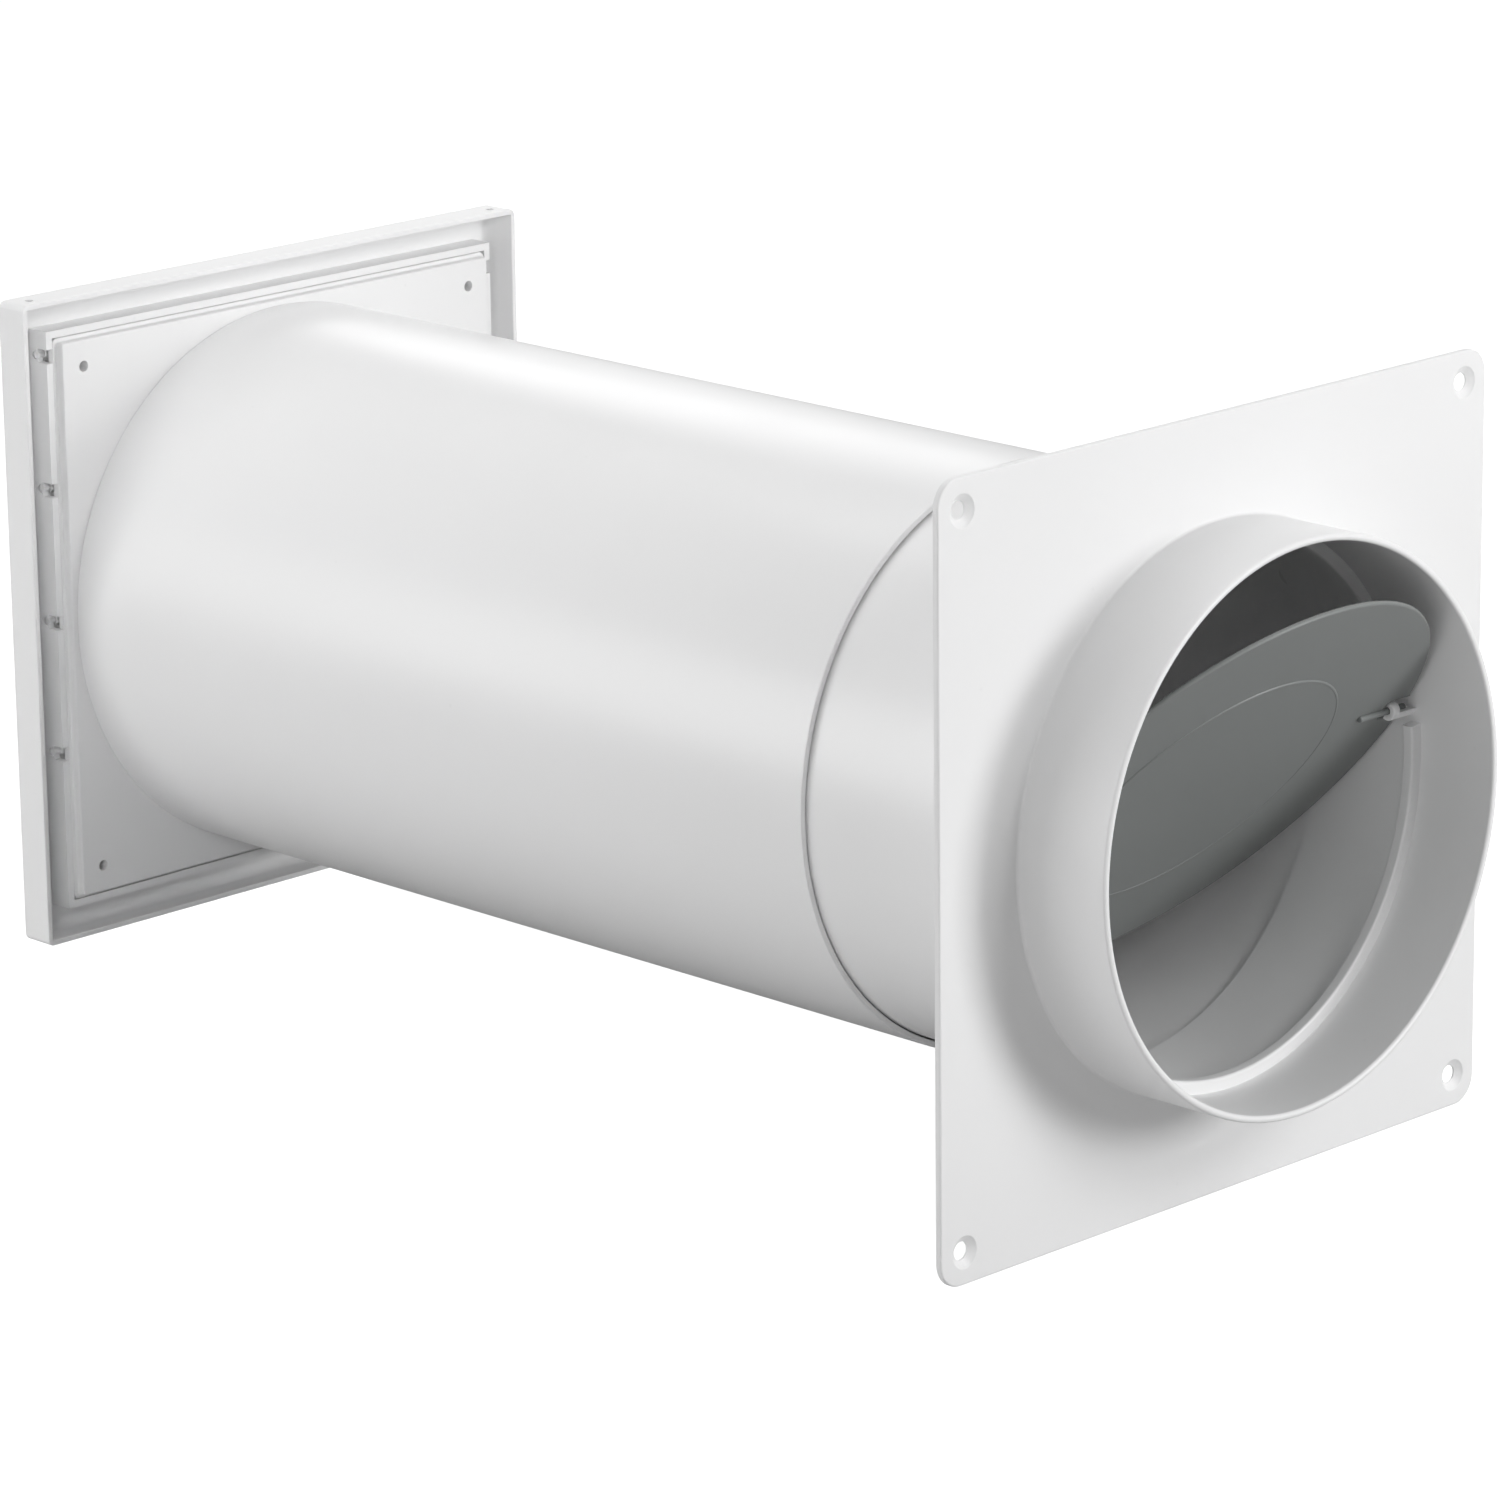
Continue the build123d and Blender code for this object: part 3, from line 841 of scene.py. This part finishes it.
class SLEEVE_OT_cover(bpy.types.Operator):
    """Outside cover: rim, trough, cassette walls with bearing slots, and the louvre window."""

    bl_idname = "sleeve.cover"
    bl_label = "Outside Cover"

    def rim_and_face(self, rim, front, floor, half):
        """The cover's square shell: a rounded trough inside its rim, and the front face with the
        louvre window, whose edge is turned in by a small radius."""
        wall, fillet, soft, corner = 1.6 * MM, 3.2 * MM, 0.8 * MM, 2.0 * MM
        rim_inner, rim_outer = 0.3 * MM, 0.4 * MM
        fillet_steps, soft_steps = 9, 6
        trough = half - wall
        rows = squared(
            chain(
                (CASSETTE_OUTER, floor),
                soft_corner((trough, floor), (-fillet, 0.0), (0.0, -fillet), fillet_steps),
                soft_corner((trough, rim), (0.0, rim_inner), (rim_inner, 0.0), SMALL_STEPS),
                soft_corner((half, rim), (-rim_outer, 0.0), (0.0, rim_outer), SMALL_STEPS),
                soft_corner((half, front), (0.0, -soft), (-soft, 0.0), soft_steps),
            ),
            corner,
        )
        side, low_z, high_z, window_corner = CASSETTE_INNER, -76.2 * MM, 77.4 * MM, 0.6 * MM
        lip = 0.35 * MM
        edge = chain(
            soft_corner((0.0, front), (lip, 0.0), (0.0, -lip), SMALL_STEPS), (0.0, floor)
        )
        window = [
            rounded_box(-side - out, side + out, low_z - out, high_z + out, window_corner)
            for out in edge[:, 0]
        ]
        shell = Shell()
        shell.grid(rows)
        shell.grid(stacked(window, edge[:, 1]))
        shell.cap([plan_of(rows[-1]), window[0]], across(front))
        shell.cap([plan_of(rows[0]), window[-1]], across(floor))
        return shell

    def release_drill(self, rim, half):
        """Two upright posts that cut the release holes through the top wall."""
        drill = Shell()
        radius, inset, from_rim, steps = 1.25 * MM, 6.0 * MM, 4.5 * MM, 24
        below, above = 2.4 * MM, 1.0 * MM
        levels = (half - below, half + above)
        for side in (-1, 1):
            ring = circle(radius, steps) + np.array([side * (half - inset), rim + from_rim])
            drill.bar(np.stack([np.column_stack([ring, np.full(len(ring), z)]) for z in levels]))
        return drill

    def side_wall(self, shell, x_low, x_high, far):
        """A cassette wall seen from its side: a long rectangle whose edge is cut by a slot and
        a round bearing for each louvre, carried from one face of the wall to the other."""
        near, reach = BORDER_DEPTH, CASSETTE_OUTER
        slot_half, slot_end = 2.0 * MM, near + SLOT_DEPTH
        radius, mouth, steps = 1.25 * MM, radians(143), 21
        bearing = arc(radius, mouth, -mouth, steps)
        points = [[near, reach]]
        for hinge in LOUVRE_HINGES:
            upper, lower = hinge[2] + slot_half, hinge[2] - slot_half
            hollow = hinge[1:] + bearing
            points += [[near, upper], [slot_end, upper]]
            points += hollow[hollow[:, 0] > slot_end].tolist()
            points += [[slot_end, lower], [near, lower]]
        points += [[near, -reach], [far, -reach], [far, reach]]
        loop = np.array(points)
        shell.grid(np.stack([sideways(x)(loop) for x in (x_low, x_high)]))
        shell.cap([loop], sideways(x_low))
        shell.cap([loop], sideways(x_high))

    def execute(self, context):
        low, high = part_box("cover_frame")
        rim, front, half = low.y, high.y, high.x
        face, sunk = 1.8 * MM, 0.2 * MM
        floor = front - face
        make_piece(
            "cover_shell",
            self.rim_and_face(rim, front, floor, half),
            moulded_white(),
            "exterior",
            ("cover_frame",),
            holes=self.release_drill(rim, half),
        )
        inner, outer, ledge = CASSETTE_INNER, CASSETTE_OUTER, 79.0 * MM
        near, far = BORDER_DEPTH, floor + sunk
        border_wall, gap = 2.0 * MM, 0.02 * MM
        ledge_near, ledge_far = near + border_wall + gap, near + SLOT_DEPTH
        corner, corner_steps, edge = 0.02 * MM, 2, 0.015 * MM
        walls = Shell()
        for x_low, x_high in ((-outer, -inner), (inner, outer)):
            self.side_wall(walls, x_low, x_high, far)
        for z_low, z_high, start, end in (
            (-outer, -inner, near, far),
            (inner, outer, near, far),
            (-inner, -ledge, ledge_near, ledge_far),
            (ledge, inner, ledge_near, ledge_far),
        ):
            loop = rounded_box(-inner, inner, z_low, z_high, corner, corner_steps)
            walls.plate(loop, edge, start, end)
        make_piece("cassette_walls", walls, moulded_white(), "exterior")
        return {"FINISHED"}


class SLEEVE_OT_louvres(bpy.types.Operator):
    """Gravity louvres: a blade with a curved lip below a round barrel, with a pin at each end."""

    bl_idname = "sleeve.louvres"
    bl_label = "Gravity Louvres"

    def blade_section(self, pivot, height):
        """The blade's outline seen from its side. Its middle line hangs straight down from the
        pivot and then swings out on a circle whose radius is half of reach squared over lip plus
        lip, and half the thickness is laid off on each side of it."""
        reach, thick, lip = 37.6 * MM, 1.4 * MM, 2.75 * MM
        straight, tip_share, steps = 0.6, 0.35, 48
        drop = np.linspace(0.0, 1.0, steps)
        past = reach * np.maximum(drop - straight, 0.0)
        sweep = (past[-1] ** 2 + lip**2) / (2 * lip)
        middle_y = pivot + sweep - np.sqrt(sweep**2 - past**2)
        middle = np.stack([middle_y, height - reach * drop], axis=1)
        along = np.gradient(middle, axis=0)
        along /= np.linalg.norm(along, axis=1)[:, None]
        side = np.stack([-along[:, 1], along[:, 0]], axis=1) * thick / 2
        tip = middle[-1] + along[-1] * thick * tip_share
        outline = np.concatenate([(middle + side)[:-1], [tip], (middle - side)[:-1][::-1]])
        outline[:, 1] = np.maximum(outline[:, 1], height - reach)
        return outline

    def execute(self, context):
        half, pin_tip = 80.9 * MM, 83.1 * MM
        barrel, pin, soft, steps = 1.7 * MM, 1.2 * MM, 0.3 * MM, 32
        left = chain(
            (ON_AXIS, -pin_tip),
            soft_corner((pin, -pin_tip), (-soft, 0.0), (0.0, soft), SMALL_STEPS),
            (pin, -half),
            soft_corner((barrel, -half), (-soft, 0.0), (0.0, soft), SMALL_STEPS),
        )
        spindle = np.concatenate([left, (left * [1, -1])[::-1]])
        for number, (_, pivot, height) in enumerate(LOUVRE_HINGES, 1):
            section = self.blade_section(pivot, height)
            shell = Shell()
            shell.grid(np.stack([sideways(x)(section) for x in (-half, 0.0, half)]))
            shell.cap([section], sideways(-half))
            shell.cap([section], sideways(half))
            shell.grid(turned(spindle, steps, pivot, height))
            make_piece(
                f"louvre_blade_{number}",
                shell,
                moulded_white(),
                f"louvre_{number}",
                (f"louvre_{number}",),
            )
        return {"FINISHED"}


# Studio


def area_lamp(name, place, aim, size, power, spread):
    """A square soft lamp at a place, pointed at a target; a smaller spread narrows its beam."""
    data = bpy.data.lights.new(name, "AREA")
    data.size = size
    data.energy = power
    data.spread = spread
    lamp = bpy.data.objects.new(name, data)
    lamp.location = place
    lamp.rotation_euler = (Vector(aim) - Vector(place)).to_track_quat("-Z", "Y").to_euler()
    bpy.context.scene.collection.objects.link(lamp)


class SLEEVE_OT_studio(bpy.types.Operator):
    """Pale floor, soft lamps, even ambient light and the camera."""

    bl_idname = "sleeve.studio"
    bl_label = "Studio"

    def world(self, ambient):
        """White to the camera and in reflections, and a plain even light on the object."""
        world = bpy.data.worlds.new("Even white")
        bpy.context.scene.world = world
        world.use_nodes = True
        tree = world.node_tree
        link = tree.links.new
        tree.nodes.clear()
        out = add_node(tree, "OutputWorld")
        seen = add_node(tree, "Background", {"Color": (1, 1, 1, 1), "Strength": 1.0})
        lit = add_node(tree, "Background", {"Color": (1, 1, 1, 1), "Strength": ambient})
        path = add_node(tree, "LightPath")
        shiny = add_node(tree, "Math", operation="MAXIMUM")
        clear = add_node(tree, "Math", operation="MAXIMUM")
        mix = add_node(tree, "MixShader")
        link(path.outputs["Is Camera Ray"], shiny.inputs[0])
        link(path.outputs["Is Glossy Ray"], shiny.inputs[1])
        link(shiny.outputs[0], clear.inputs[0])
        link(path.outputs["Is Transmission Ray"], clear.inputs[1])
        link(clear.outputs[0], mix.inputs["Fac"])
        link(lit.outputs[0], mix.inputs[1])
        link(seen.outputs[0], mix.inputs[2])
        link(mix.outputs[0], out.inputs["Surface"])

    def floor(self, level):
        """A wide pale floor: mostly plain white to the camera, with a share that takes light
        and so keeps the object's shadow."""
        reach = 6.0
        mesh = bpy.data.meshes.new("studio_floor")
        corners = [(x * reach, y * reach, level) for x, y in ((-1, -1), (1, -1), (1, 1), (-1, 1))]
        mesh.from_pydata(corners, [], [(0, 1, 2, 3)])
        floor = bpy.data.objects.new("studio_floor", mesh)
        bpy.context.scene.collection.objects.link(floor)
        material = bpy.data.materials.new("Studio floor")
        material.use_nodes = True
        tree = material.node_tree
        link = tree.links.new
        tree.nodes.clear()
        out = add_node(tree, "OutputMaterial")
        pale = add_node(tree, "BsdfDiffuse", {"Color": (0.55, 0.55, 0.55, 1)})
        glow = add_node(tree, "Emission", {"Strength": 0.87})
        both = add_node(tree, "AddShader")
        path = add_node(tree, "LightPath")
        mix = add_node(tree, "MixShader")
        link(pale.outputs[0], both.inputs[0])
        link(glow.outputs[0], both.inputs[1])
        link(path.outputs["Is Camera Ray"], mix.inputs["Fac"])
        link(pale.outputs[0], mix.inputs[1])
        link(both.outputs[0], mix.inputs[2])
        link(mix.outputs[0], out.inputs["Surface"])
        mesh.materials.append(material)

    def camera(self, lens):
        """The photograph's viewpoint: left of the room side and a little above."""
        data = bpy.data.cameras.new("camera")
        data.lens = lens
        data.sensor_width = 36.0
        data.clip_start, data.clip_end = 0.01, 50.0
        camera = bpy.data.objects.new("camera", data)
        turn, tip, roll = radians(44.603), radians(15.798), radians(-0.710)
        ahead = Vector((sin(turn) * cos(tip), cos(turn) * cos(tip), -sin(tip)))
        right = Vector((cos(turn), -sin(turn), 0.0))
        up = right.cross(ahead)
        right, up = right * cos(roll) + up * sin(roll), up * cos(roll) - right * sin(roll)
        axes = Matrix((right, up, -ahead)).transposed()
        place = Vector((-1.23082, -1.08144, 0.47867))
        camera.matrix_world = Matrix.Translation(place) @ axes.to_4x4()
        bpy.context.scene.collection.objects.link(camera)
        bpy.context.scene.camera = camera

    def execute(self, context):
        studio = context.scene.sleeve_studio
        self.world(studio.ambient)
        under_object = 0.2 * MM
        self.floor(CAD_BOX[0].z - under_object)
        middle, mouth, plate = (0.0, 0.16, 0.0), (0.0, -0.02, 0.0), (-0.03, 0.35, 0.0)
        narrow = radians(18.0)
        for name, place, aim, size, power, spread in (
            ("overhead", (0.2, 0.6, 1.45), middle, 1.0, studio.overhead_power, pi),
            ("front", (0.75, -1.4, 0.3), mouth, 0.5, studio.front_power, pi),
            ("upper front", (0.4, -1.25, 0.95), mouth, 0.6, studio.mouth_power, pi),
            ("cover", (-0.9, -0.45, 0.5), plate, 0.3, studio.cover_power, narrow),
            ("side", (-1.5, 1.0, 0.1), middle, 1.2, studio.side_power, pi),
            ("back", (0.95, 1.25, 0.75), middle, 0.5, studio.back_power, pi),
            ("low fill", (-1.6, -0.4, 0.1), middle, 0.8, studio.fill_power, pi),
        ):
            area_lamp(name, place, aim, size, power, spread)
        self.camera(studio.lens)
        context.scene.view_settings.view_transform = "Standard"
        return {"FINISHED"}


class SLEEVE_PT_panel(bpy.types.Panel):
    """Lists the sleeve's sizes, finishes, light levels and pieces in the sidebar."""

    bl_idname = "SLEEVE_PT_panel"
    bl_label = "Wall Vent Sleeve"
    bl_space_type = "VIEW_3D"
    bl_region_type = "UI"
    bl_category = "Vent Sleeve"

    def draw(self, context):
        layout = self.layout
        for group, _ in SETTINGS:
            settings = getattr(context.scene, group)
            box = layout.box()
            for name in settings.bl_rna.properties.keys():
                if name not in ("rna_type", "name"):
                    box.prop(settings, name)
        for operator in OPERATORS:
            layout.operator(operator.bl_idname)


OPERATORS = (
    SLEEVE_OT_room_flange,
    SLEEVE_OT_flap_stops,
    SLEEVE_OT_tubes,
    SLEEVE_OT_flap,
    SLEEVE_OT_mounting_plate,
    SLEEVE_OT_cover,
    SLEEVE_OT_louvres,
    SLEEVE_OT_studio,
)
SETTINGS = (
    ("sleeve_sizes", SleeveSizes),
    ("sleeve_finish", SleeveFinish),
    ("sleeve_studio", StudioSettings),
)


def register():
    """Registers the settings, the operators and the panel."""
    for name, group in SETTINGS:
        bpy.utils.register_class(group)
        setattr(bpy.types.Scene, name, bpy.props.PointerProperty(type=group))
    for operator in OPERATORS:
        bpy.utils.register_class(operator)
    bpy.utils.register_class(SLEEVE_PT_panel)


def unregister():
    """Takes out what register put in."""
    bpy.utils.unregister_class(SLEEVE_PT_panel)
    for operator in reversed(OPERATORS):
        bpy.utils.unregister_class(operator)
    for name, group in reversed(SETTINGS):
        delattr(bpy.types.Scene, name)
        bpy.utils.unregister_class(group)


def main():
    register()
    bpy.ops.sleeve.room_flange()
    bpy.ops.sleeve.flap_stops()
    bpy.ops.sleeve.tubes()
    bpy.ops.sleeve.flap()
    bpy.ops.sleeve.mounting_plate()
    bpy.ops.sleeve.cover()
    bpy.ops.sleeve.louvres()
    bpy.ops.sleeve.studio()


if __name__ == "__main__":
    main()
